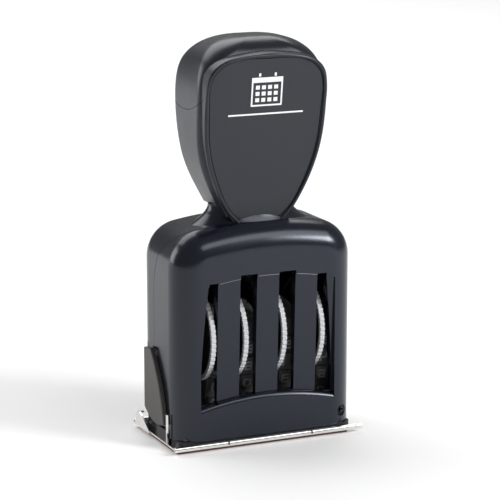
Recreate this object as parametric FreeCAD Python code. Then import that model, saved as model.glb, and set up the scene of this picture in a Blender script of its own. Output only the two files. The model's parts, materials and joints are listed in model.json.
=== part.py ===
import FreeCAD, Part
import math
import os

# Rotary date stamp. Millimetres, X across, Y from front (-) to back (+), Z up, Z = 0 at the printing face.
V = FreeCAD.Vector

# Printing base
DIE_LEFT, DIE_RIGHT = 27.4, 24.4               # how far the rubber text die reaches to each side
DIE_Y, DIE_T, RELIEF = 14.3, 0.9, 0.5          # its half depth, whole thickness and raised height
BORDER_W = 0.8                                 # width of the die's raised border
BAR_ROWS = (-12.2, -9.2, 9.2, 12.2)            # Y of each row of raised bars
BAR_COUNT, BAR_PITCH, BAR_X, BAR_Y = 9, 5.6, 2.1, 0.7   # bars in a row, their spacing and half sizes
WINDOW_X, WINDOW_Y = 23.0, 3.8                 # half sizes of the window that the date prints through
SHEET_LEFT, SHEET_RIGHT, SHEET_T = 28.0, 25.0, 0.5      # plated text plate holder: ends and thickness
# rolled edge: radius, axis distance from the centre, half length
ROLL_R, ROLL_Y, ROLL_HALF = 0.75, 15.35, 28.5
ROLL_BORE = 0.3                                # radius of the hollow inside the rolled edge
SLIT_X, SLIT_W = 12.67, 0.5                    # place and width of the two slits in each rolled edge
TAB_Y, TAB_W, TAB_T, TAB_TOP = -7.9, 0.7, 0.4, 9.6      # upturned side tab of the holder
EAR_Y, EAR_R, EAR_W, EAR_T = 12.4, 2.1, 1.8, 0.4        # curled ear at the back left corner of the holder
# outline of the ear's leaf, (y, z)
LEAF = [(4.0, 0.9), (4.0, 1.6), (9.6, 4.7), (11.4, 5.3), (13.0, 5.1), (14.2, 3.6), (14.4, 0.9)]
SKIRT_T, SKIRT_IN, SKIRT_R = 1.3, 0.6, 3.0  # black base frame: height, inset from the housing, corner radius
LUG_Y0, LUG_Y1, LUG_TOP, LUG_OUT = -6.6, 0.6, 4.6, 0.6  # lug of the base frame below each latch
FRAME_OPEN_Y0, FRAME_OPEN_Y1 = -6.4, 5.2       # opening of the base frame that the bands reach through

# Housing
BODY_X, BODY_Y = 26.9, 14.4                    # half width and half depth
BODY_TOP, ROOF_R = 62.3, 110.0                 # roof height at the middle and the radius of its crown
SHOULDER_R, EDGE_R = 10.0, 7.2                 # shoulder radius seen from the front, radius of the long edges
WALL = 1.6
# finger slots; the outer two narrow upwards by SLOT_TAPER
SLOT_PITCH, SLOT_W, SLOT_TAPER = 11.63, 5.0, 2.3
FACE_TOP, FACE_BOTTOM, ARC_K = 47.9, 14.3, 0.006  # arched limits of the sunk face, z = limit - ARC_K * x * x
FACE_X, FACE_DEPTH = 20.3, 1.8                 # half width of the sunk face and its depth at the bottom
FACE_STEP = 0.3                                # depth of the sunk face at its upper arch
LIP_R = 1.5                                    # rounding of the sunk face's lower lip
SEAM_Y, SEAM_TOP_Y, SEAM_BEND_Z = 3.3, -9.5, 40.0       # seam between the shells: down the side, then forward
SEAM_BOW_Y, SEAM_BOW_Z, SEAM_TOP_Z = 0.1, 53.0, 61.6    # a point on the seam's curve and where the curve ends
SEAM_GAP = 0.12                                # open line between joined covers
SCREW_X, SCREW_Z, SCREW_HEAD_R, SCREW_R = 23.0, 6.3, 1.6, 0.88
SCREW_SEAT_Y, SCREW_TIP_Y = 9.2, 7.1           # inner face of the screw's seat and the screw's tip
HEAD_Y0, HEAD_Y1, CROSS_Y = 10.4, 12.4, 11.5   # screw head from inside to outside, bottom of its cross
CROSS_HALF, CROSS_W = 1.0, 0.22                # half length and half width of the cross
SEAT_HALF, NUT_HALF, BLOCK_RISE = 2.6, 1.8, 2.4  # blocks round a screw: half widths, height over its axis

# Date works
WORKS_Y = -0.75                                # the date works sit this far in front of the middle
AXLE_Z, AXLE_R, AXLE_HALF = 30.0, 1.5, 25.2
CLIP_X, CLIP_R, GROOVE_R, CLIP_T = 24.75, 2.4, 1.1, 0.22   # retaining clips and their grooves
WHEEL_R, RIM_W, TEETH, TOOTH_R = 13.35, 1.3, 60, 0.42   # thumb wheels; TOOTH_R is the radius of a gap
WHEEL_ROOM = 0.4                               # clearance round each wheel inside the shells
RIM_SHIFTS = (1.2, -0.7, -0.7, -0.7)           # where each wheel's rim stands from its slot's middle
WEB_T, WEB_RIM, HUB_R = 0.95, 1.6, 4.0         # recess in each wheel's left side
DRUM_R, DRUM_W = 6.5, 5.4
SPACER_R = 2.6
BAND_W, BAND_T, BAND_GAP = 4.8, 1.1, 0.08
# raised pads of a band; PAD_IN is left bare at each edge
PAD_PITCH, PAD_H, PAD_HALF, PAD_IN = 4.6, 0.7, 1.5, 0.6
NOSE_Z, NOSE_R, NOSE_RISE = 3.45, 1.6, 5.5     # nose bar that the bands turn round at the bottom
NOSE_PIN_RISE, NOSE_PIN_R = 2.6, 0.8
FRAME_X, FRAME_T = 23.6, 0.9  # side plates: distance of their middle from the centre, thickness
FRAME_LOW_Y, FRAME_WIDE_Y, FRAME_TOP_Y, FRAME_TOP_Z = 3.0, 8.6, 5.0, 49.0
TIE_Y, TIE_Z, TIE_R = 2.8, 46.5, 1.0
# detent comb: half sizes, thickness, half finger width
COMB_X, COMB_Y, COMB_T, FINGER_W = 22.5, 5.0, 0.4, 0.6
LEDGE_Y, LEDGE_Z0, LEDGE_Z1 = 4.0, 12.0, 21.0

# Handle
# front face: y = -LEAN_Y at LEAN_Z, LEAN mm further back per mm down
LEAN_Z, LEAN_Y, LEAN = 92.0, 12.2, 0.135
# Outline of the front face: (half width, z) up the side, over the crown, and the height of its crest
SIDE = [(7.0, 61.0), (10.4, 65.5), (13.9, 72.2), (16.3, 79.0), (17.6, 86.0), (18.0, 94.0)]
FACE_CROWN = [(17.9, 99.5), (16.9, 103.9), (13.6, 107.0), (7.4, 108.5)]
FACE_CREST = 109.0
# Core behind the face, at each height: z, half width, half depth, corner radius
CORE = [(60.9, 9.0, 5.2, 1.5), (65.5, 11.3, 5.9, 1.6), (72.2, 14.7, 6.8, 1.8), (79.0, 17.3, 7.7, 2.0),
        (86.0, 18.5, 8.6, 2.2), (94.0, 18.8, 9.8, 2.6), (100.0, 18.6, 10.5, 3.4), (104.5, 17.8, 10.9, 4.6),
        (108.0, 15.9, 10.6, 5.8), (110.6, 12.8, 8.9, 6.0), (112.2, 8.4, 6.2, 4.8), (112.7, 3.6, 2.8, 2.2)]
CORE_Y = -1.2  # the handle's core and neck stand this far in front of the middle
CAP_EDGE_Z, CAP_MID_Z, CAP_EDGE_Y = 101.6, 93.0, 16.0   # cap seam: height at the edges and at mid depth
CAVITY_X, CAVITY_Y, CAVITY_Z0, CAVITY_Z1 = 12.0, 4.5, 79.0, 105.0   # hollow inside the handle
LABEL_INSET, LABEL_GAP, LABEL_T = 1.3, 0.2, 1.3
BEZEL_T = 3.8
TIP_BACK_Y = -5.8  # back of the face plate's tip, which hangs in front of the neck
NECK_X, NECK_Y, NECK_TOP = 12.2, 6.6, 66.4
COLLAR_X, COLLAR_Y, COLLAR_SINK = 22.0, 11.0, 3.4  # foot of the collar and how far below the roof's top it is
HANDLE_SCREW_R, HANDLE_SCREW_HEAD_R, HANDLE_SCREW_TOP = 2.0, 3.6, 73.5

# Side latches: a fin seen from the left, Y to the back
LATCH_T, LATCH_GAP, LATCH_ROUND = 1.3, 0.12, 0.45
FIN_BACK_Y, FIN_BACK_Z, FIN_HEEL_Z = 8.0, 25.2, 8.0
FIN_TOP_Y, FIN_TOP_Z = 3.2, 26.0
FIN_TOE_Y, FIN_TOE_Z = -6.4, 6.2
FIN_SWEEP_Y, FIN_SWEEP_Z = -3.3, 16.2          # a point on the swept front edge
FIN_SOLE_Y, FIN_SOLE_Z = 0.8, 5.2              # a point on the curved lower edge
BOSS_Y0, BOSS_Y1, BOSS_ROOM = 1.5, 5.2, 0.3    # pivot boss from front to back, clearance round it
PIN_Y0, PIN_Y1 = -0.3, 7.0
POCKET_Y0, POCKET_Y1, POCKET_RISE = 0.3, 9.9, 2.3       # room above the pivot for the fin's top to swing in
PIVOT_X, PIVOT_Z, PIVOT_R, BOSS_R = 26.0, 24.2, 0.6, 1.2

FAR = 40.0                                     # reach of cutting solids beyond the object
FIT = 0.02                                     # clearance of pinned and pressed joints


def box(x0, x1, y0, y1, z0, z1):
    return Part.makeBox(x1 - x0, y1 - y0, z1 - z0, V(x0, y0, z0))


def rod_x(x0, x1, y, z, r):
    return Part.makeCylinder(r, x1 - x0, V(x0, y, z), V(1, 0, 0))


def rod_y(x, y0, y1, z, r):
    return Part.makeCylinder(r, y1 - y0, V(x, y0, z), V(0, 1, 0))


def rod_z(x, y, z0, z1, r):
    return Part.makeCylinder(r, z1 - z0, V(x, y, z0))


def mirror_x(shape):
    return shape.mirror(V(0, 0, 0), V(1, 0, 0))


def mirror_y(shape):
    return shape.mirror(V(0, 0, 0), V(0, 1, 0))


def solid_of(edges, sweep):
    return Part.Face(Part.Wire(edges)).extrude(sweep)


def line(a, b):
    return Part.LineSegment(a, b).toShape()


def arc(a, b, c):
    return Part.Arc(a, b, c).toShape()


def spline(points):
    curve = Part.BSplineCurve()
    curve.interpolate(points)
    return curve.toShape()


def polygon_solid(points, sweep):
    return Part.Face(Part.makePolygon(points + [points[0]])).extrude(sweep)


def fillet_where(shape, radius, test):
    edges = [e for e in shape.Edges if test(e)]
    return shape.makeFillet(radius, edges)


def all_points(edge, test):
    return all(test(edge.valueAt(edge.FirstParameter + k * (edge.LastParameter - edge.FirstParameter) / 4))
               for k in range(5))


# ---------------------------------------------------------------- housing

def body_block(inset):
    """The housing's outer form, or its hollow when inset by the wall."""
    x, y, top = BODY_X - inset, BODY_Y - inset, BODY_TOP - inset
    low = DIE_T + SHEET_T + SKIRT_T
    r, roof = SHOULDER_R - inset, ROOF_R - inset
    cx = x - r
    cz = top - roof + math.sqrt((roof - r) ** 2 - cx ** 2)
    lean = math.atan2(cx, cz - top + roof)
    meet_x, meet_z = roof * math.sin(lean), top - roof + roof * math.cos(lean)
    mid = math.pi / 4 - lean / 2
    mid_x, mid_z = cx + r * math.cos(mid), cz + r * math.sin(mid)
    edges = [line(V(-x, -y, low), V(-x, -y, cz)),
             arc(V(-x, -y, cz), V(-mid_x, -y, mid_z), V(-meet_x, -y, meet_z)),
             arc(V(-meet_x, -y, meet_z), V(0, -y, top), V(meet_x, -y, meet_z)),
             arc(V(meet_x, -y, meet_z), V(mid_x, -y, mid_z), V(x, -y, cz)),
             line(V(x, -y, cz), V(x, -y, low)),
             line(V(x, -y, low), V(-x, -y, low))]
    block = solid_of(edges, V(0, 2 * y, 0))
    return fillet_where(block, EDGE_R - inset, lambda e: all_points(e, lambda p: abs(abs(p.y) - y) < 1e-6)
                        and not all_points(e, lambda p: p.z < low + 1e-6))


def arch_z(limit, x):
    return limit - ARC_K * x * x


def face_cut():
    """Removes a leaning wedge from the front: a fine step at the upper arch, deepest at the lower one."""
    back = 4.0
    outline = []
    for limit, x0, x1 in ((FACE_BOTTOM, -FACE_X, FACE_X), (FACE_TOP, FACE_X, -FACE_X)):
        mid = (x0 + x1) / 2
        ends = [V(x, 0, arch_z(limit, x)) for x in (x0, mid, x1)]
        outline.append(arc(*ends))
    right = line(outline[0].Vertexes[-1].Point, outline[1].Vertexes[0].Point)
    left = line(outline[1].Vertexes[-1].Point, outline[0].Vertexes[0].Point)
    prism = solid_of([outline[0], right, outline[1], left], V(0, -BODY_Y - back, 0))
    z0, z1 = FACE_BOTTOM - 4, FACE_TOP + 1
    wedge = polygon_solid([V(-FAR, -BODY_Y - back, z0), V(-FAR, -BODY_Y + FACE_DEPTH, z0),
                           V(-FAR, -BODY_Y + FACE_STEP, z1), V(-FAR, -BODY_Y - back, z1)], V(2 * FAR, 0, 0))
    return prism.common(wedge)


def slot_centres():
    return [SLOT_PITCH * (k - 1.5) for k in range(4)]


def slot_cut(x):
    """One finger slot, its ends following the arches; the outer slots curve in at the top."""
    side = math.copysign(1.0, x)
    near, far = x - side * SLOT_W / 2, x + side * SLOT_W / 2
    low, top = arch_z(FACE_BOTTOM, x), arch_z(FACE_TOP, x) + 0.8
    if abs(x) < SLOT_PITCH:
        shoulder = [line(V(near, 0, top), V(far, 0, top)), line(V(far, 0, top), V(far, 0, low))]
    else:
        corner = V(far - side * SLOT_TAPER, 0, top)
        bow = V(far - side * SLOT_TAPER * 0.3, 0, (top + low) / 2)
        shoulder = [line(V(near, 0, top), corner), arc(corner, bow, V(far, 0, low))]
    edges = [line(V(near, 0, low), V(near, 0, top))] + shoulder + [line(V(far, 0, low), V(near, 0, low))]
    return solid_of(edges, V(0, -BODY_Y, 0))


def seam_region():
    """Everything in front of the seam: straight up the side, then sweeping forward over the shoulder."""
    top, front, low = BODY_TOP + 4, -30.0, -5.0
    corners = [V(-FAR, SEAM_TOP_Y, SEAM_TOP_Z), V(-FAR, SEAM_TOP_Y - 1.6, top), V(-FAR, front, top),
               V(-FAR, front, low), V(-FAR, SEAM_Y, low), V(-FAR, SEAM_Y, SEAM_BEND_Z)]
    edges = [line(p, q) for p, q in zip(corners, corners[1:])]
    edges.append(arc(corners[-1], V(-FAR, SEAM_BOW_Y, SEAM_BOW_Z), corners[0]))
    return solid_of(edges, V(2 * FAR, 0, 0))


def latch_pocket():
    """Room for the latch's boss and for its upper edge to swing in."""
    y0, y1, r = BOSS_Y0 - BOSS_ROOM, BOSS_Y1 + BOSS_ROOM, BOSS_R + BOSS_ROOM
    boss = rod_y(-PIVOT_X, y0, y1, PIVOT_Z, r)
    mouth = box(-BODY_X - 1, -PIVOT_X, y0, y1, PIVOT_Z - BOSS_R - 0.9, PIVOT_Z + r)
    relief = box(-BODY_X - 1, -BODY_X + 0.6, POCKET_Y0, POCKET_Y1, PIVOT_Z, PIVOT_Z + POCKET_RISE)
    pin = rod_y(-PIVOT_X, PIN_Y0, PIN_Y1, PIVOT_Z, PIVOT_R)
    return boss.fuse([mouth, relief, pin])


def screw_places():
    """The housing screws: one from the front at the right, one from the back at the left."""
    return [(SCREW_X, -1), (-SCREW_X, 1)]


def screw_axis_solid(x, side, r, y_from, y_to):
    y0, y1 = sorted((side * y_from, side * y_to))
    return rod_y(x, y0, y1, SCREW_Z, r)


def corner_block(x, side, y_from, y_to, z0, half):
    """The block round a housing screw, from the floor of the shell up past the screw."""
    y0, y1 = sorted((side * y_from, side * y_to))
    return box(x - half, x + half, y0, y1, z0, SCREW_Z + BLOCK_RISE)


def housing():
    """Both shells, split along the seam, with slots, pockets and screw holes."""
    outer = fillet_lips(body_block(0).cut(face_cut()))
    panel = box(-FACE_X - 1, FACE_X + 1, -BODY_Y, -BODY_Y + WALL + FACE_DEPTH, FACE_BOTTOM - 4, FACE_TOP)
    hollow = body_block(WALL).cut(panel)
    floor_z = DIE_T + SHEET_T + SKIRT_T
    for x, side in screw_places():
        hollow = hollow.cut(corner_block(x, side, SCREW_SEAT_Y, BODY_Y - 1, floor_z, SEAT_HALF))
    shell = outer.cut(hollow).cut(handle_form())
    cutters = [rod_z(0, CORE_Y, BODY_TOP - 8, BODY_TOP + 8, HANDLE_SCREW_R + 0.1)]
    cutters += [latch_pocket(), mirror_x(latch_pocket())]
    cutters += [slot_cut(x) for x in slot_centres()]
    reach = RIM_W / 2 + WHEEL_ROOM
    for k in range(4):
        cutters.append(rod_x(rim_x(k) - reach, rim_x(k) + reach, WORKS_Y, AXLE_Z, WHEEL_R + WHEEL_ROOM))
    for x, side in screw_places():
        cutters.append(screw_axis_solid(x, side, SCREW_HEAD_R + 0.05, HEAD_Y0, BODY_Y + 3))
        cutters.append(screw_axis_solid(x, side, SCREW_R + FIT, SCREW_SEAT_Y - 1, BODY_Y))
    shell = shell.cut(Part.makeCompound(cutters))
    front = seam_region()
    behind = front.copy()
    behind.translate(V(0, SEAM_GAP, SEAM_GAP))
    return main_solid(shell.common(front)), main_solid(shell.cut(front.fuse(behind)))


def main_solid(shape):
    return max(shape.Solids, key=lambda s: s.Volume)


def on_lip(p):
    return abs(abs(p.y) - BODY_Y) < 1e-4 and abs(p.z - arch_z(FACE_BOTTOM, p.x)) < 0.05


def fillet_lips(shape):
    """Rounds the lower lip of the sunk face, where the foot bulges out."""
    return fillet_where(shape, LIP_R, lambda e: all_points(e, on_lip) and e.Length > 10)


# ---------------------------------------------------------------- base

def base_frame():
    z0 = DIE_T + SHEET_T
    x, y = BODY_X - SKIRT_IN, BODY_Y - SKIRT_IN
    ring = box(-x, x, -y, y, z0, z0 + SKIRT_T)
    ring = fillet_where(ring, SKIRT_R, lambda e: abs(e.Vertexes[0].Z - e.Vertexes[-1].Z) > 1)
    blocks = [side_lug(), mirror_x(side_lug())]
    for x, side in screw_places():
        block = corner_block(x, side, SCREW_TIP_Y - 0.3, SCREW_SEAT_Y - 0.1, z0, NUT_HALF)
        blocks.append(block.cut(screw_axis_solid(x, side, SCREW_R, 0, BODY_Y)))
    reach = FRAME_X + 0.7
    opening = box(-reach, reach, FRAME_OPEN_Y0, FRAME_OPEN_Y1, z0 - 1, z0 + SKIRT_T + 1)
    return main_solid(ring.cut(opening).fuse(blocks).removeSplitter())


def side_lug():
    """A block of the base frame that stands up outside the shell, below the latch."""
    z0 = DIE_T + SHEET_T
    foot = box(-BODY_X - LUG_OUT, -BODY_X + 1.0, LUG_Y0, LUG_Y1, z0, z0 + SKIRT_T - 0.1)
    return foot.fuse(box(-BODY_X - LUG_OUT, -BODY_X - 0.05, LUG_Y0, LUG_Y1, z0, LUG_TOP))


def holder_ear():
    """An upright leaf at the back of the left edge with a curl at its end, to pull the holder off by."""
    z = DIE_T + EAR_R + 0.15
    outer = rod_x(-ROLL_HALF, -ROLL_HALF + EAR_W, EAR_Y, z, EAR_R)
    inner = rod_x(-FAR, FAR, EAR_Y, z, EAR_R - EAR_T)
    curl = outer.cut(inner).common(box(-FAR, FAR, EAR_Y - EAR_T, FAR, 0, 20))
    leaf = polygon_solid([V(-ROLL_HALF, y, z) for y, z in LEAF], V(EAR_T, 0, 0))
    foot = box(-ROLL_HALF, -SHEET_LEFT + 1, LEAF[0][0], LEAF[-1][0], DIE_T, DIE_T + SHEET_T)
    return curl.fuse([leaf, foot])


def rolled_edge(side):
    """The sheet's edge rolled into a tube and cut by two slits."""
    y, z = side * ROLL_Y, DIE_T + ROLL_R - 0.05
    tube = rod_x(-ROLL_HALF, ROLL_HALF, y, z, ROLL_R)
    tube = tube.cut(rod_x(-ROLL_HALF, ROLL_HALF, y, z, ROLL_BORE))
    for slit in (-SLIT_X, SLIT_X):
        tube = tube.cut(box(slit - SLIT_W / 2, slit + SLIT_W / 2, y - 1, y + 1, z - 0.2, 3))
    return tube


def text_plate_holder():
    """The sheet that carries the text die: window, rolled front and back edges, a side tab and an ear."""
    sheet = box(-SHEET_LEFT, SHEET_RIGHT, -ROLL_Y, ROLL_Y, DIE_T, DIE_T + SHEET_T)
    sheet = sheet.cut(box(-WINDOW_X, WINDOW_X, WORKS_Y - WINDOW_Y, WORKS_Y + WINDOW_Y, 0, 3))
    tab = box(-SHEET_LEFT, -SHEET_LEFT + TAB_T, TAB_Y - TAB_W / 2, TAB_Y + TAB_W / 2, DIE_T, TAB_TOP)
    return main_solid(sheet.fuse([tab, rolled_edge(-1), rolled_edge(1), holder_ear()]))


def text_die():
    """Rubber die: a thin sheet with a border and rows of plain bars standing down to the printing face."""
    plate = box(-DIE_LEFT, DIE_RIGHT, -DIE_Y, DIE_Y, RELIEF - 0.05, DIE_T)
    border = box(-DIE_LEFT, DIE_RIGHT, -DIE_Y, DIE_Y, 0, RELIEF)
    inner_y = DIE_Y - BORDER_W
    border = border.cut(box(-DIE_LEFT + BORDER_W, DIE_RIGHT - BORDER_W, -inner_y, inner_y, -1, 1))
    raised = [border]
    for y in BAR_ROWS:
        for k in range(BAR_COUNT):
            x = (k - (BAR_COUNT - 1) / 2) * BAR_PITCH
            raised.append(box(x - BAR_X, x + BAR_X, y - BAR_Y, y + BAR_Y, 0, RELIEF))
    reach_x, reach_y = WINDOW_X + BORDER_W, WINDOW_Y + 1
    hole = box(-reach_x, reach_x, WORKS_Y - reach_y, WORKS_Y + reach_y, -1, 3)
    return main_solid(plate.fuse(raised).cut(hole).removeSplitter())


# ---------------------------------------------------------------- date works

def rim_x(k):
    return slot_centres()[k] + RIM_SHIFTS[k]


def date_wheel(k):
    """A toothed thumb disc with the drum that drives the band on its right."""
    x = rim_x(k)
    disc = rod_x(x - RIM_W / 2, x + RIM_W / 2, 0, AXLE_Z, WHEEL_R)
    notches = []
    pitch_r = WHEEL_R * 1.012
    for t in range(TEETH):
        a = 2 * math.pi * t / TEETH
        notches.append(rod_x(x - 1, x + 1, pitch_r * math.cos(a), AXLE_Z + pitch_r * math.sin(a), TOOTH_R))
    disc = disc.cut(Part.makeCompound(notches))
    drum = rod_x(x, x + RIM_W / 2 + DRUM_W, 0, AXLE_Z, DRUM_R)
    left = x - RIM_W / 2
    web = rod_x(left - 1, left + RIM_W - WEB_T, 0, AXLE_Z, WHEEL_R - WEB_RIM)
    wheel = disc.cut(web.cut(rod_x(left - 2, x, 0, AXLE_Z, HUB_R))).fuse(drum)
    return main_solid(wheel.cut(rod_x(-FAR, FAR, 0, AXLE_Z, AXLE_R + 3 * FIT)))


def band_side(r_top, r_low):
    """Angle of the straight run that is tangent to the drum circle and the nose circle."""
    return math.asin((r_top - r_low) / (AXLE_Z - NOSE_Z))


def loop_solid(x0, x1, r_top, r_low):
    """A filled belt outline round the drum and the nose bar."""
    a = band_side(r_top, r_low)
    top = [V(x0, s * r_top * math.cos(a), AXLE_Z - r_top * math.sin(a)) for s in (-1, 1)]
    low = [V(x0, s * r_low * math.cos(a), NOSE_Z - r_low * math.sin(a)) for s in (-1, 1)]
    edges = [arc(top[0], V(x0, 0, AXLE_Z + r_top), top[1]), line(top[1], low[1]),
             arc(low[1], V(x0, 0, NOSE_Z - r_low), low[0]), line(low[0], top[0])]
    return solid_of(edges, V(x1 - x0, 0, 0))


def date_band(k):
    """A rubber loop with raised pads that carry the characters."""
    x0 = rim_x(k) + RIM_W / 2 + 0.4
    x1 = x0 + BAND_W
    r_top, r_low = DRUM_R + BAND_GAP, NOSE_R + FIT
    band = loop_solid(x0, x1, r_top + BAND_T, r_low + BAND_T).cut(loop_solid(x0 - 1, x1 + 1, r_top, r_low))
    x0, x1 = x0 + PAD_IN, x1 - PAD_IN
    limit = loop_solid(x0, x1, r_top + BAND_T + PAD_H, r_low + BAND_T + PAD_H)
    pads = [pad.common(limit) for pad in band_pads(x0, x1, r_top, r_low)]
    return main_solid(band.fuse(pads).removeSplitter())


def band_pads(x0, x1, r_top, r_low):
    """Blocks square to the belt, at even steps down both runs and round both turns."""
    out = []
    a = band_side(r_top, r_low)
    run = (AXLE_Z - NOSE_Z) * math.cos(a)
    steps = int(run / PAD_PITCH)
    for side in (-1, 1):
        for n in range(steps):
            t = (n + 0.5) / steps
            y = side * (r_top + (r_low - r_top) * t + 0.3)
            z = AXLE_Z + (NOSE_Z - AXLE_Z) * t
            block = box(x0, x1, -0.2, 3.4, -PAD_HALF, PAD_HALF)
            block.rotate(V(0, 0, 0), V(1, 0, 0), math.degrees(-a))
            block = block if side > 0 else mirror_y(block)
            block.translate(V(0, y, z))
            out.append(block)
    for n in range(5):
        b = math.radians(14 + 38 * n)
        block = box(x0, x1, r_top + 0.1, r_top + 3, -PAD_HALF, PAD_HALF)
        block.rotate(V(0, 0, 0), V(1, 0, 0), math.degrees(b))
        block.translate(V(0, 0, AXLE_Z))
        out.append(block)
    out.append(box(x0, x1, -1.4, 1.4, NOSE_Z - r_low - 4, NOSE_Z - r_low - 0.2))
    return out


def wheel_axle():
    axle = rod_x(-AXLE_HALF, AXLE_HALF, 0, AXLE_Z, AXLE_R)
    for s in (-1, 1):
        groove = rod_x(s * CLIP_X - CLIP_T - 0.03, s * CLIP_X + CLIP_T + 0.03, 0, AXLE_Z, 2 * AXLE_R)
        groove = groove.cut(rod_x(-FAR, FAR, 0, AXLE_Z, GROOVE_R))
        axle = axle.cut(groove)
    return axle


def axle_clips():
    """Two retaining clips, one in each groove of the axle, open on one side."""
    clips = []
    for s in (-1, 1):
        clip = rod_x(s * CLIP_X - CLIP_T, s * CLIP_X + CLIP_T, 0, AXLE_Z, CLIP_R)
        clip = clip.cut(rod_x(-FAR, FAR, 0, AXLE_Z, GROOVE_R + FIT))
        clips.append(clip.cut(box(-FAR, FAR, -AXLE_R / 2, AXLE_R / 2, AXLE_Z - 3, AXLE_Z)))
    return Part.makeCompound(clips)


def side_plate():
    """Steel side plate of the date works, narrowing towards the nose bar."""
    x0 = -FRAME_X - FRAME_T / 2
    z0 = DIE_T + SHEET_T + SKIRT_T + 0.1
    half = [(FRAME_LOW_Y, z0), (FRAME_WIDE_Y, AXLE_Z - 6), (FRAME_WIDE_Y, AXLE_Z + 10),
            (FRAME_TOP_Y, FRAME_TOP_Z)]
    points = [V(x0, y, z) for y, z in half] + [V(x0, -y, z) for y, z in reversed(half)]
    plate = polygon_solid(points, V(FRAME_T, 0, 0))
    holes = [rod_x(-FAR, FAR, 0, AXLE_Z, AXLE_R), rod_x(-FAR, FAR, 0, NOSE_Z + NOSE_PIN_RISE, NOSE_PIN_R)]
    holes += [rod_x(-FAR, FAR, y, TIE_Z, TIE_R) for y in (-TIE_Y, TIE_Y)]
    return plate.cut(Part.makeCompound(holes))


def nose_bar():
    """The bar that presses the four bands onto the paper, with a pin at each end."""
    x = FRAME_X - FRAME_T / 2 - FIT
    half = NOSE_R * 0.7
    bar = rod_x(-x, x, 0, NOSE_Z, NOSE_R).fuse(box(-x, x, -half, half, NOSE_Z, NOSE_Z + NOSE_RISE))
    pin = rod_x(-FRAME_X - FRAME_T / 2, FRAME_X + FRAME_T / 2, 0, NOSE_Z + NOSE_PIN_RISE, NOSE_PIN_R)
    return main_solid(bar.fuse(pin).removeSplitter())


def tie_rods():
    return Part.makeCompound([rod_x(-FRAME_X - FRAME_T / 2, FRAME_X + FRAME_T / 2, y, TIE_Z, TIE_R)
                              for y in (-TIE_Y, TIE_Y)])


def detent_comb():
    """Spring comb across the tie rods with one finger over each thumb wheel."""
    z = TIE_Z + TIE_R
    comb = box(-COMB_X, COMB_X, -COMB_Y, COMB_Y, z, z + COMB_T)
    for k in range(4):
        x = rim_x(k)
        for x0, x1 in ((x - 2.2, x - FINGER_W), (x + FINGER_W, x + 2.2)):
            comb = comb.cut(box(x0, x1, -3.5, COMB_Y + 1, z - 1, z + 1))
        tip = box(x - FINGER_W, x + FINGER_W, COMB_Y - COMB_T, COMB_Y, AXLE_Z + WHEEL_R + 0.15, z + 0.1)
        comb = comb.fuse(tip)
    return main_solid(comb.removeSplitter())


def wheel_spacers():
    """Tubes on the axle between each drum and the next wheel, and at both ends."""
    stops = [-FRAME_X + FRAME_T / 2]
    for k in range(4):
        stops += [rim_x(k) - RIM_W / 2, rim_x(k) + RIM_W / 2 + DRUM_W]
    stops.append(FRAME_X - FRAME_T / 2)
    tubes = []
    for n in range(0, len(stops), 2):
        tube = rod_x(stops[n] + 3 * FIT, stops[n + 1] - 3 * FIT, 0, AXLE_Z, SPACER_R)
        tubes.append(tube.cut(rod_x(-FAR, FAR, 0, AXLE_Z, AXLE_R + FIT / 4)))
    return Part.makeCompound(tubes)


def side_ledges():
    """A ledge on each side that holds a side plate in the shells."""
    x0, x1 = FRAME_X + FRAME_T / 2 + FIT, BODY_X - WALL - FIT
    ledge = box(-x1, -x0, -LEDGE_Y, LEDGE_Y, LEDGE_Z0, LEDGE_Z1)
    return Part.makeCompound([ledge, mirror_x(ledge)])


# ---------------------------------------------------------------- handle

def teardrop(inset, y0, y1):
    """The outline of the handle's face, moved inwards by the inset and extruded from y0 to y1."""
    right = [V(w - inset, y0, z + (inset if n == 0 else 0)) for n, (w, z) in enumerate(SIDE)]
    right += [V(w - inset * 0.8, y0, z - inset * 0.6) for w, z in FACE_CROWN]
    left = [V(-p.x, y0, p.z) for p in reversed(right)]
    edges = [spline(right + [V(0, y0, FACE_CREST - inset)] + left), line(left[-1], right[0])]
    return solid_of(edges, V(0, y1 - y0, 0))


def face_plate(inset, front, back):
    """A teardrop plate lying in the leaning front face; front and back are depths behind that face."""
    plate = teardrop(inset, -LEAN_Y + front, -LEAN_Y + back)
    plate.rotate(V(0, -LEAN_Y, LEAN_Z), V(1, 0, 0), math.degrees(math.atan(LEAN)))
    return plate


def rounded_section(z, w, d, r):
    """A level rectangle of half width w and half depth d with corners of radius r."""
    s = r * (1 - math.sqrt(0.5))
    edges = []
    for i, j in ((1, -1), (1, 1), (-1, 1), (-1, -1)):
        ends = [V(i * (w - r), j * d, z), V(i * (w - s), j * (d - s), z), V(i * w, j * (d - r), z)]
        if i * j > 0:
            ends.reverse()
        if edges:
            edges.append(line(edges[-1].Vertexes[-1].Point, ends[0]))
        edges.append(arc(*ends))
    edges.append(line(V(-w + r, -d, z), V(w - r, -d, z)))
    return Part.Wire(edges)


def handle_form():
    """A domed core behind a leaning face plate, whose tip hangs down in front of the neck."""
    core = Part.makeLoft([rounded_section(*row) for row in CORE], True, False)
    core.translate(V(0, CORE_Y, 0))
    form = core.fuse(face_plate(0, 0, BEZEL_T))
    return main_solid(form.cut(box(-FAR, FAR, TIP_BACK_Y, FAR, 0, NECK_TOP)))


def label_plate():
    return main_solid(face_plate(LABEL_INSET + LABEL_GAP, 0.1, LABEL_T))


def label_pocket():
    return face_plate(LABEL_INSET, -3, LABEL_T + FIT)


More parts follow.
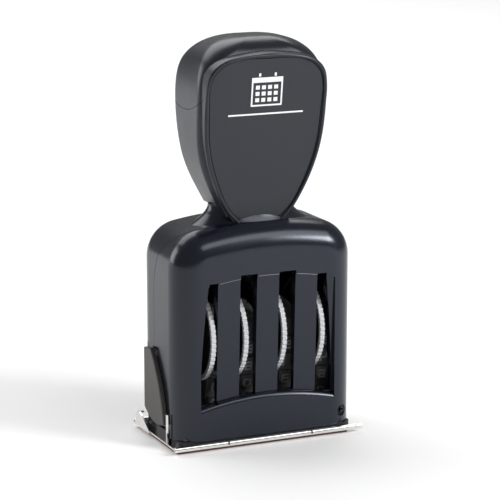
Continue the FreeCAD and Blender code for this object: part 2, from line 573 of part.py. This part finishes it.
def cap_region():
    """Everything above the cap seam, which dips towards mid depth."""
    y, z, top = CAP_EDGE_Y, CAP_EDGE_Z, 130.0
    corners = [V(-FAR, y, z), V(-FAR, y, top), V(-FAR, -y, top), V(-FAR, -y, z)]
    edges = [line(p, q) for p, q in zip(corners, corners[1:])]
    edges.append(arc(corners[-1], V(-FAR, 0, CAP_MID_Z), corners[0]))
    return solid_of(edges, V(2 * FAR, 0, 0))


def handle_parts():
    core = handle_form().cut(label_pocket())
    cavity = box(-CAVITY_X, CAVITY_X, CORE_Y - CAVITY_Y, CORE_Y + CAVITY_Y, CAVITY_Z0, CAVITY_Z1)
    region = cap_region()
    bore = rod_z(0, CORE_Y, BODY_TOP - 8, HANDLE_SCREW_TOP + 0.5, HANDLE_SCREW_R)
    body = main_solid(core.cut(region).cut(cavity).cut(bore))
    region.translate(V(0, 0, SEAM_GAP))
    cap = main_solid(core.common(region).cut(cavity))
    return body, cap


def neck_collar():
    """The flared saddle between the roof and the handle."""
    rings = []
    low = BODY_TOP - COLLAR_SINK
    steps = 5
    for t in range(steps + 1):
        rise = t / steps
        flare = (1 - rise) ** 2
        x, y = NECK_X + (COLLAR_X - NECK_X) * flare, NECK_Y + (COLLAR_Y - NECK_Y) * flare
        ring = Part.Ellipse(V(0, CORE_Y, low + (NECK_TOP - low) * rise), x, y)
        rings.append(Part.Wire(ring.toShape()))
    collar = Part.makeLoft(rings, True, False)
    collar = collar.cut(body_block(0)).cut(handle_form())
    return main_solid(collar.cut(rod_z(0, CORE_Y, 0, 2 * FAR, HANDLE_SCREW_R + 0.1)))


def handle_screw():
    head_z = BODY_TOP - WALL
    shank = rod_z(0, CORE_Y, head_z - 1.0, HANDLE_SCREW_TOP, HANDLE_SCREW_R - FIT)
    head = rod_z(0, CORE_Y, head_z - 2.4, head_z - 0.15, HANDLE_SCREW_HEAD_R)
    slot = box(-4, 4, CORE_Y - 0.5, CORE_Y + 0.5, head_z - 3, head_z - 1.6)
    return shank.fuse(head).cut(slot).removeSplitter()


def housing_screws():
    screws = []
    for x, side in screw_places():
        head = screw_axis_solid(x, side, SCREW_HEAD_R, HEAD_Y0, HEAD_Y1)
        shank = screw_axis_solid(x, side, SCREW_R, SCREW_TIP_Y, HEAD_Y0 + 0.1)
        cross = [box(x - a, x + a, -FAR, FAR, SCREW_Z - b, SCREW_Z + b)
                 for a, b in ((CROSS_HALF, CROSS_W), (CROSS_W, CROSS_HALF))]
        zone = screw_axis_solid(x, side, 2 * SCREW_HEAD_R, CROSS_Y, BODY_Y)
        recess = cross[0].fuse(cross[1]).common(zone)
        screws.append(head.fuse(shank).cut(recess).removeSplitter())
    return Part.makeCompound(screws)


# ---------------------------------------------------------------- latches

def latch():
    """Fin on the left side: tall and straight at the back, its front edge sweeping down and forward."""
    x0 = -BODY_X - LATCH_GAP - LATCH_T
    heel, back = V(x0, FIN_BACK_Y, FIN_HEEL_Z), V(x0, FIN_BACK_Y, FIN_BACK_Z)
    top, toe = V(x0, FIN_TOP_Y, FIN_TOP_Z), V(x0, FIN_TOE_Y, FIN_TOE_Z)
    edges = [line(heel, back), line(back, top), arc(top, V(x0, FIN_SWEEP_Y, FIN_SWEEP_Z), toe),
             arc(toe, V(x0, FIN_SOLE_Y, FIN_SOLE_Z), heel)]
    fin = solid_of(edges, V(LATCH_T, 0, 0))
    fin = fillet_where(fin, LATCH_ROUND, lambda e: all_points(e, lambda p: abs(p.x - x0) < 1e-6))
    boss = rod_y(-PIVOT_X, BOSS_Y0, BOSS_Y1, PIVOT_Z, BOSS_R)
    arm_x = -BODY_X - LATCH_GAP - 0.1
    arm = box(arm_x, -PIVOT_X, BOSS_Y0, BOSS_Y1, PIVOT_Z - BOSS_R, PIVOT_Z + BOSS_R * 0.6)
    body = fin.fuse([boss, arm]).cut(rod_y(-PIVOT_X, -FAR, FAR, PIVOT_Z, PIVOT_R + 2 * FIT))
    return main_solid(body.removeSplitter())


def latch_pins():
    pin = rod_y(-PIVOT_X, PIN_Y0, PIN_Y1, PIVOT_Z, PIVOT_R)
    return Part.makeCompound([pin, mirror_x(pin)])


def date_works():
    """Every piece of the date works, drawn about Y = 0 and then moved to its place."""
    works = {
        "wheel_axle": wheel_axle(), "axle_clips": axle_clips(), "wheel_spacers": wheel_spacers(),
        "left_side_plate": side_plate(), "right_side_plate": mirror_x(side_plate()),
        "nose_bar": nose_bar(), "tie_rods": tie_rods(), "detent_comb": detent_comb(),
    }
    for k in range(4):
        works[f"date_wheel_{k + 1}"] = date_wheel(k)
        works[f"date_band_{k + 1}"] = date_band(k)
    for shape in works.values():
        shape.translate(V(0, WORKS_Y, 0))
    return works


def build():
    front, rear = housing()
    body, cap = handle_parts()
    parts = {
        "front_shell": front, "rear_shell": rear, "neck_collar": neck_collar(),
        "handle_body": body, "handle_cap": cap,
        "front_label_plate": label_plate(),
        "handle_screw": handle_screw(), "housing_screws": housing_screws(),
        "base_frame": base_frame(), "text_plate_holder": text_plate_holder(), "text_die": text_die(),
        "left_latch": latch(), "right_latch": mirror_x(latch()), "latch_pins": latch_pins(),
        "side_ledges": side_ledges(),
    }
    parts.update(date_works())
    return parts


os.makedirs("parts", exist_ok=True)
for name, shape in build().items():
    shape.exportStep(f"parts/{name}.step")
    b = shape.BoundBox
    print(f"{name:20s} solids {len(shape.Solids)} vol {shape.Volume:9.1f} valid {shape.isValid()}",
          f"x {b.XMin:.2f} {b.XMax:.2f} y {b.YMin:.2f} {b.YMax:.2f} z {b.ZMin:.2f} {b.ZMax:.2f}")
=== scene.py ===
import json
import math

import bmesh
import bpy
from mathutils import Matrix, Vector


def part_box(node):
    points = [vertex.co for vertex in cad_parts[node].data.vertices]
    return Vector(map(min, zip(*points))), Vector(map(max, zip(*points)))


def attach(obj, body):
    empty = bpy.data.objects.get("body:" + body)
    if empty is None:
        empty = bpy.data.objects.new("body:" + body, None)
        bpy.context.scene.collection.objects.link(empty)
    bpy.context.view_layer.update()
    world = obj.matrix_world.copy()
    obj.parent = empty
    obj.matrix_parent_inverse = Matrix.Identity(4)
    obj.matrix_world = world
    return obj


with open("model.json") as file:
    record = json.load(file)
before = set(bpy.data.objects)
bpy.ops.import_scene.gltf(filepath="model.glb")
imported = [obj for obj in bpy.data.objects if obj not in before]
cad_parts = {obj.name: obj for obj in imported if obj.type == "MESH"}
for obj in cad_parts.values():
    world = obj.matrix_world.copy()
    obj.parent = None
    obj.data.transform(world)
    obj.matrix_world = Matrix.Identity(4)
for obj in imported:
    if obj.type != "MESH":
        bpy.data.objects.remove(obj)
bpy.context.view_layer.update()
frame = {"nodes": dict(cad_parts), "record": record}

MM = 0.001
SKY, FLOOR_GLOW = 0.24, 0.06                    # brightness of the surroundings and of the floor itself
CLOUD_SCALE = 90.0                              # of the faint clouds in the plastics
DRAWN_GRAIN = 900.0                             # scale of the drawing lines in the metals
BLUE_SHEEN = (0.84, 0.90, 1.0)                  # tint of the black plastic's reflections

# The handle's leaning face, as in the CAD model (mm)
FACE_Y, FACE_Z, LEAN = 12.2, 92.0, 0.135
SIDE = [(7.0, 61.0), (10.4, 65.5), (13.9, 72.2), (16.3, 79.0), (17.6, 86.0), (18.0, 94.0)]
CROWN = [(17.9, 99.5), (16.9, 103.9), (13.6, 107.0), (7.4, 108.5)]
CREST = 109.0

# Bead round the label plate: how far inside the face's edge, and its radius (mm)
BEAD_INSET, BEAD_R = 0.62, 0.52

# Print on the label plate (mm): inner and outer face, measured outward from the leaning face, then bars as
# x0, x1, z0, z1: the rule line, and the head, left side, right side, foot and two pegs of the calendar sheet
PRINT_DEPTHS = (-0.26, -0.06)
PRINT_BARS = ((-11.1, 11.1, 92.0, 92.45), (-4.6, 4.6, 101.0, 102.4), (-4.6, -4.15, 94.4, 101.0),
              (4.15, 4.6, 94.4, 101.0), (-4.15, 4.15, 94.4, 94.85), (-2.6, -2.0, 102.7, 103.6),
              (2.0, 2.6, 102.7, 103.6))
# Squares on the sheet: rows and columns, then the first one's corner, the step and the size as x, z (mm)
SQUARE_ROWS, SQUARE_COLS = 3, 4
SQUARE_START, SQUARE_STEP, SQUARE_SIZE = (-3.35, 95.6), (1.8, 1.75), (1.15, 1.1)

# Upper arch of the sunk face: z = ARCH_Z - ARCH_K * x * x at y = ARCH_Y, its runs between the slots, and
# the radius of the line along them (mm)
ARCH_Z, ARCH_K, ARCH_Y = 47.9, 0.006, -14.36
ARCH_RUNS = ((-14.8, -8.45), (-3.18, 3.18), (8.45, 14.8))
ARCH_LINE_R = 0.13

# Thumb wheels: how far inside the rim the light grey of the teeth begins over the painted shade of the face,
# and where it is full (mm)
TEETH_BEGIN, TEETH_FULL = 1.3, 1.0

# Front run of the date bands over the pads, as (y, z) in mm at its top and foot, and the pads on it
RUN_TOP, RUN_FOOT, PADS = (-8.98, 28.43), (-4.11, 2.81), 5
# Digits on the pads (mm): height, and inner and outer face measured outward from the band, then which of
# the seven bars each digit shows and each bar's x0, z0, x1, z1
DIGIT_H = 2.6
DIGIT_DEPTHS = (-0.1, 0.12)
DIGIT_BARS = ("1110111", "0010010", "1011101", "1011011", "0111010",
              "1101011", "1101111", "1010010", "1111111", "1111011")
BAR_BOXES = ((-1.1, 2.1, 1.1, 2.6), (0.6, 1.3, 1.1, 2.6), (-1.1, 1.3, -0.6, 2.6), (-1.1, 1.05, 1.1, 1.55),
             (0.6, 0.0, 1.1, 1.3), (-1.1, 0.0, -0.6, 1.3), (-1.1, 0.0, 1.1, 0.5))

# Faces of a block whose corners are listed round its back and then round its front
BLOCK_FACES = ((0, 1, 2, 3), (4, 5, 6, 7), (0, 1, 5, 4), (1, 2, 6, 5), (2, 3, 7, 6), (3, 0, 4, 7))

# Lights: name, place and target (m), width and height (m), power (W)
AIM = (0, 0, 0.05)
LIGHTS = (
    ("roof_softbox", (0.30, -0.52, 0.66), AIM, 0.70, 0.28, 2.2),
    ("back_softbox", (0.0, 1.0, 1.1), (0, 0.8, 0), 1.8, 1.0, 16.0),
    ("left_softbox", (-0.7, 0.55, 0.30), AIM, 0.45, 0.5, 3.0),
    ("front_softbox", (0.65, -0.70, 0.5), (0.20, -0.35, 0), 0.3, 0.3, 7.0),
)

# Camera: turn to the left and height angle (degrees), distance (m), lens (mm), and the point it looks at (m)
AZIMUTH, ELEVATION, DISTANCE, LENS = 24.157, 12.473, 0.60948, 157.55
CAMERA_TARGET = (-0.0001, -0.0020, 0.0524)


# ---------------------------------------------------------------- node helpers

def new_material(name):
    mat = bpy.data.materials.new(name)
    mat.use_nodes = True
    nodes = mat.node_tree.nodes
    return mat, nodes, mat.node_tree.links, nodes["Principled BSDF"]


def noise(nodes, links, scale, detail=3.0):
    coord = nodes.new("ShaderNodeTexCoord")
    tex = nodes.new("ShaderNodeTexNoise")
    tex.inputs["Scale"].default_value = scale
    tex.inputs["Detail"].default_value = detail
    links.new(coord.outputs["Object"], tex.inputs["Vector"])
    return tex


def ramp(nodes, links, source, low, high, start=0.35, end=0.65):
    node = nodes.new("ShaderNodeMapRange")
    node.inputs["From Min"].default_value = start
    node.inputs["From Max"].default_value = end
    node.inputs["To Min"].default_value = low
    node.inputs["To Max"].default_value = high
    links.new(source, node.inputs["Value"])
    return node.outputs["Result"]


def tint(nodes, links, source, dark, light):
    node = nodes.new("ShaderNodeMix")
    node.data_type = "RGBA"
    node.inputs["A"].default_value = (*dark, 1)
    node.inputs["B"].default_value = (*light, 1)
    links.new(source, node.inputs["Factor"])
    return node.outputs["Result"]


def bump(nodes, links, bsdf, source, strength, distance):
    node = nodes.new("ShaderNodeBump")
    node.inputs["Strength"].default_value = strength
    node.inputs["Distance"].default_value = distance
    links.new(source, node.inputs["Height"])
    links.new(node.outputs["Normal"], bsdf.inputs["Normal"])


def plastic(name, dark, light, rough, grain, grain_depth, spread=0.04, sheen=(1.0, 1.0, 1.0)):
    """Moulded plastic: a faint cloud in colour and gloss over a fine grain."""
    mat, nodes, links, bsdf = new_material(name)
    bsdf.inputs["Specular Tint"].default_value = (*sheen, 1)
    cloud = noise(nodes, links, CLOUD_SCALE, 4.0)
    links.new(tint(nodes, links, cloud.outputs["Fac"], dark, light), bsdf.inputs["Base Color"])
    gloss = ramp(nodes, links, cloud.outputs["Fac"], rough - spread, rough + spread)
    links.new(gloss, bsdf.inputs["Roughness"])
    fine = noise(nodes, links, grain, 2.0)
    bump(nodes, links, bsdf, fine.outputs["Fac"], 0.5, grain_depth)
    return mat


def wheel_plastic():
    """Thumb wheel: light teeth round a face in painted shade, told apart by the distance from the axle."""
    mat = plastic("wheel_grey", (0.46, 0.47, 0.49), (0.60, 0.61, 0.63), 0.42, 2200, 0.00002)
    nodes, links = mat.node_tree.nodes, mat.node_tree.links
    bsdf = nodes["Principled BSDF"]
    light = bsdf.inputs["Base Color"].links[0].from_socket
    low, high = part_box("date_wheel_1")
    coord = nodes.new("ShaderNodeTexCoord")
    flat = nodes.new("ShaderNodeVectorMath")
    flat.operation = "MULTIPLY"
    flat.inputs[1].default_value = (0, 1, 1)
    links.new(coord.outputs["Object"], flat.inputs[0])
    reach = nodes.new("ShaderNodeVectorMath")
    reach.operation = "DISTANCE"
    reach.inputs[1].default_value = (0, (low.y + high.y) / 2, (low.z + high.z) / 2)
    links.new(flat.outputs["Vector"], reach.inputs[0])
    rim = (high.z - low.z) / 2
    begin, full = rim - TEETH_BEGIN * MM, rim - TEETH_FULL * MM
    painted_shade_to_teeth = ramp(nodes, links, reach.outputs["Value"], 0.0, 1.0, begin, full)
    painted_face_shade = nodes.new("ShaderNodeMix")
    painted_face_shade.data_type = "RGBA"
    # painted shade: the wheel's face inside the teeth is painted near black, for the shade it lies in within
    # the slot
    painted_face_shade.inputs["A"].default_value = (0.02, 0.021, 0.024, 1)
    links.new(light, painted_face_shade.inputs["B"])
    links.new(painted_shade_to_teeth, painted_face_shade.inputs["Factor"])
    links.new(painted_face_shade.outputs["Result"], bsdf.inputs["Base Color"])
    return mat


def metal(name, dark, light, rough, stretch=(1.0, 1.0, 1.0)):
    """Plated or plain metal with faint drawing lines along one axis."""
    mat, nodes, links, bsdf = new_material(name)
    bsdf.inputs["Metallic"].default_value = 1.0
    coord = nodes.new("ShaderNodeTexCoord")
    mapping = nodes.new("ShaderNodeMapping")
    mapping.inputs["Scale"].default_value = stretch
    links.new(coord.outputs["Object"], mapping.inputs["Vector"])
    lines = nodes.new("ShaderNodeTexNoise")
    lines.inputs["Scale"].default_value = DRAWN_GRAIN
    lines.inputs["Detail"].default_value = 3.0
    links.new(mapping.outputs["Vector"], lines.inputs["Vector"])
    links.new(tint(nodes, links, lines.outputs["Fac"], dark, light), bsdf.inputs["Base Color"])
    links.new(ramp(nodes, links, lines.outputs["Fac"], rough * 0.7, rough * 1.3), bsdf.inputs["Roughness"])
    bump(nodes, links, bsdf, lines.outputs["Fac"], 0.25, 0.00002)
    return mat


def make_materials():
    return {
        "gloss_black": plastic("gloss_black", (0.004, 0.005, 0.010), (0.006, 0.008, 0.014), 0.22,
                               1500, 0.000004, 0.02, BLUE_SHEEN),
        "satin_black": plastic("satin_black", (0.008, 0.009, 0.013), (0.012, 0.013, 0.018), 0.30,
                               2600, 0.00001, 0.04, BLUE_SHEEN),
        "matte_label": plastic("matte_label", (0.015, 0.016, 0.019), (0.020, 0.021, 0.025), 0.52,
                               3200, 0.00003, 0.04, BLUE_SHEEN),
        "matte_black": plastic("matte_black", (0.010, 0.010, 0.012), (0.018, 0.018, 0.020), 0.55,
                               2500, 0.00002),
        "latch_black": plastic("latch_black", (0.050, 0.044, 0.043), (0.062, 0.056, 0.054), 0.50,
                               2500, 0.00003),
        "nickel": metal("nickel", (0.78, 0.76, 0.73), (0.92, 0.91, 0.89), 0.10, (0.05, 1, 1)),
        "steel": metal("steel", (0.42, 0.42, 0.43), (0.60, 0.60, 0.61), 0.35, (0.1, 1, 1)),
        "dark_steel": metal("dark_steel", (0.03, 0.03, 0.035), (0.06, 0.06, 0.065), 0.35),
        "wheel_grey": wheel_plastic(),
        "band_rubber": plastic("band_rubber", (0.055, 0.055, 0.06), (0.12, 0.12, 0.125), 0.70, 1800, 0.00006),
        "die_rubber": plastic("die_rubber", (0.10, 0.035, 0.028), (0.15, 0.055, 0.042), 0.75, 1600, 0.00005),
        # painted highlight: the arch line is painted grey, lighter than the black face, to show the highlight
        # along its edge
        "painted_highlight_grey": plastic("painted_highlight_grey", (0.10, 0.11, 0.12), (0.14, 0.15, 0.16), 0.35, 2600, 0.00001),
        "digit_grey": plastic("digit_grey", (0.30, 0.30, 0.31), (0.42, 0.42, 0.43), 0.6, 1800, 0.00003),
        "print_white": plastic("print_white", (0.80, 0.81, 0.82), (0.88, 0.89, 0.90), 0.55, 3000, 0.000008),
    }


def dress_nodes(mats):
    """Gives every carried-over node the material of its slot."""
    slots = {row["node"]: row["material_slot"] for row in frame["record"]["subparts"]}
    for name, obj in frame["nodes"].items():
        obj.data.materials.clear()
        obj.data.materials.append(mats[slots[name]])


# ---------------------------------------------------------------- mesh helpers

def finish_piece(obj, body, slot, mats):
    obj.data.materials.append(mats[slot])
    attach(obj, body)
    return obj


def mesh_object(name, verts, faces):
    mesh = bpy.data.meshes.new(name)
    mesh.from_pydata([tuple(v) for v in verts], [], faces)
    bm = bmesh.new()
    bm.from_mesh(mesh)
    bmesh.ops.recalc_face_normals(bm, faces=bm.faces)
    bm.to_mesh(mesh)
    bm.free()
    obj = bpy.data.objects.new(name, mesh)
    bpy.context.collection.objects.link(obj)
    return obj


def catmull(points, steps):
    """A smooth open line through the points."""
    out = []
    padded = [points[0] * 2 - points[1]] + points + [points[-1] * 2 - points[-2]]
    for a, b, c, d in zip(padded, padded[1:], padded[2:], padded[3:]):
        for n in range(steps):
            t = n / steps
            out.append(0.5 * ((2 * b) + (c - a) * t + (2 * a - 5 * b + 4 * c - d) * t * t
                              + (3 * b - a - 3 * c + d) * t ** 3))
    return out + [points[-1]]


def outline(inset):
    """The handle face's outline as (x, z) points in mm, open at the foot."""
    right = [Vector((w - inset, z + (inset if n == 0 else 0))) for n, (w, z) in enumerate(SIDE)]
    right += [Vector((w - inset * 0.8, z - inset * 0.6)) for w, z in CROWN]
    left = [Vector((-p.x, p.y)) for p in reversed(right)]
    return catmull(right + [Vector((0, CREST - inset))] + left, 6)


def on_face(x, z, proud):
    """The point of the leaning face at (x, z) mm, standing proud of it by that many mm."""
    turn = math.atan(LEAN)
    up = z - FACE_Z
    y = FACE_Y + up * math.sin(turn) + proud * math.cos(turn)
    return Vector((x, -y, FACE_Z + up * math.cos(turn) - proud * math.sin(turn))) * MM


def sweep_tube(name, path, radius, ring=10, closed=True):
    """A round bead along a path in metres."""
    verts, faces = [], []
    count = len(path)
    for i, p in enumerate(path):
        before = path[i - 1] if closed or i else p
        after = path[(i + 1) % count] if closed or i < count - 1 else p
        along = (after - before).normalized()
        side = along.cross(Vector((0, 1, 0))).normalized()
        out = side.cross(along).normalized()
        for k in range(ring):
            a = 2 * math.pi * k / ring
            verts.append(p + (side * math.cos(a) + out * math.sin(a)) * radius)
    rows = count if closed else count - 1
    for i in range(rows):
        j = (i + 1) % count
        for k in range(ring):
            m = (k + 1) % ring
            faces.append((i * ring + k, i * ring + m, j * ring + m, j * ring + k))
    if not closed:
        faces.append(tuple(range(ring)))
        faces.append(tuple(range((count - 1) * ring, count * ring)))
    obj = mesh_object(name, verts, faces)
    for poly in obj.data.polygons:
        poly.use_smooth = True
    return obj


# ---------------------------------------------------------------- pieces

def bezel_bead(mats):
    """The rounded bead that frames the label plate."""
    points = [on_face(p.x, p.y, 0.0) for p in outline(BEAD_INSET)]
    bead = sweep_tube("bezel_bead", points, BEAD_R * MM)
    return finish_piece(bead, "housing", "satin_black", mats)


def print_bar(verts, faces, x0, x1, z0, z1):
    base = len(verts)
    for depth in PRINT_DEPTHS:
        verts += [on_face(x, z, depth) for x, z in ((x0, z0), (x1, z0), (x1, z1), (x0, z1))]
    faces += [tuple(base + k for k in f) for f in BLOCK_FACES]


def label_print(mats):
    """A plain rule line with a small calendar sheet above it."""
    verts, faces = [], []
    for bar in PRINT_BARS:
        print_bar(verts, faces, *bar)
    for row in range(SQUARE_ROWS):
        for col in range(SQUARE_COLS):
            x = SQUARE_START[0] + col * SQUARE_STEP[0]
            z = SQUARE_START[1] + row * SQUARE_STEP[1]
            print_bar(verts, faces, x, x + SQUARE_SIZE[0], z, z + SQUARE_SIZE[1])
    mark = mesh_object("label_print", verts, faces)
    return finish_piece(mark, "housing", "print_white", mats)


def arch_lines(mats):
    """The fine raised edge along the top of the sunk face, broken by the slots, painted grey as a painted
    highlight.
    """
    for n, (start, end) in enumerate(ARCH_RUNS):
        steps = 12
        path = []
        for k in range(steps + 1):
            x = start + (end - start) * k / steps
            path.append(Vector((x, ARCH_Y, ARCH_Z - ARCH_K * x * x)) * MM)
        edge = sweep_tube(f"arch_line_{n + 1}", path, ARCH_LINE_R * MM, 8, False)
        finish_piece(edge, "housing", "painted_highlight_grey", mats)


def band_digit(verts, faces, digit, centre_x, low, along, outward):
    """A seven-bar digit lying on a band's front run; low is the middle of its foot."""
    for on, (x0, z0, x1, z1) in zip(DIGIT_BARS[digit], BAR_BOXES):
        if on == "0":
            continue
        base = len(verts)
        for depth in DIGIT_DEPTHS:
            for x, z in ((x0, z0), (x1, z0), (x1, z1), (x0, z1)):
                verts.append((low + Vector((centre_x + x, 0, 0)) + along * z + outward * depth) * MM)
        faces += [tuple(base + k for k in f) for f in BLOCK_FACES]


def band_digits(mats):
    """Raised mirror-image digits on the front runs of the bands, one to each pad."""
    verts, faces = [], []
    top, foot = Vector((0, *RUN_TOP)), Vector((0, *RUN_FOOT))
    along = (top - foot).normalized()
    outward = Vector((0, -along.z, along.y))
    for band in range(1, 5):
        low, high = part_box(f"date_band_{band}")
        centre_x = (low.x + high.x) / 2 / MM
        for n in range(PADS):
            spot = top.lerp(foot, (n + 0.5) / PADS) - along * DIGIT_H / 2
            band_digit(verts, faces, (band * 3 + n * 2) % 10, centre_x, spot, along, outward)
    digits = mesh_object("band_digits", verts, faces)
    return finish_piece(digits, "housing", "digit_grey", mats)


# ---------------------------------------------------------------- studio

def floor():
    size = 4.0
    corners = [(-size, -size, 0), (size, -size, 0), (size, size, 0), (-size, size, 0)]
    obj = mesh_object("floor", corners, [(0, 1, 2, 3)])
    mat, nodes, links, bsdf = new_material("floor_paper")
    cloud = noise(nodes, links, 3.0)
    links.new(tint(nodes, links, cloud.outputs["Fac"], (0.90, 0.90, 0.90), (0.93, 0.93, 0.93)),
              bsdf.inputs["Base Color"])
    bsdf.inputs["Roughness"].default_value = 0.9
    bsdf.inputs["Emission Color"].default_value = (1.0, 1.0, 1.0, 1)
    bsdf.inputs["Emission Strength"].default_value = FLOOR_GLOW
    obj.data.materials.append(mat)
    obj.location.z = -0.0001


def area(name, place, target, width, height, power):
    light = bpy.data.lights.new(name, "AREA")
    light.shape = "RECTANGLE"
    light.size, light.size_y, light.energy = width, height, power
    obj = bpy.data.objects.new(name, light)
    obj.location = place
    obj.rotation_euler = (Vector(target) - Vector(place)).to_track_quat("-Z", "Y").to_euler()
    bpy.context.collection.objects.link(obj)


def studio():
    world = bpy.data.worlds.new("studio")
    world.use_nodes = True
    world.node_tree.nodes["Background"].inputs["Color"].default_value = (1.0, 1.0, 1.0, 1)
    world.node_tree.nodes["Background"].inputs["Strength"].default_value = SKY
    bpy.context.scene.world = world
    for light in LIGHTS:
        area(*light)


def camera():
    data = bpy.data.cameras.new("camera")
    data.lens = LENS
    data.sensor_width = 36.0
    data.clip_start, data.clip_end = 0.01, 20.0
    obj = bpy.data.objects.new("camera", data)
    azimuth, elevation = math.radians(AZIMUTH), math.radians(ELEVATION)
    target = Vector(CAMERA_TARGET)
    away = Vector((-math.sin(azimuth) * math.cos(elevation), -math.cos(azimuth) * math.cos(elevation),
                   math.sin(elevation)))
    obj.location = target + away * DISTANCE
    obj.rotation_euler = (-away).to_track_quat("-Z", "Y").to_euler()
    bpy.context.collection.objects.link(obj)
    bpy.context.scene.camera = obj


camera()
studio()
floor()
materials = make_materials()
dress_nodes(materials)
bezel_bead(materials)
label_print(materials)
band_digits(materials)
arch_lines(materials)
bpy.context.scene.view_settings.view_transform = "Standard"
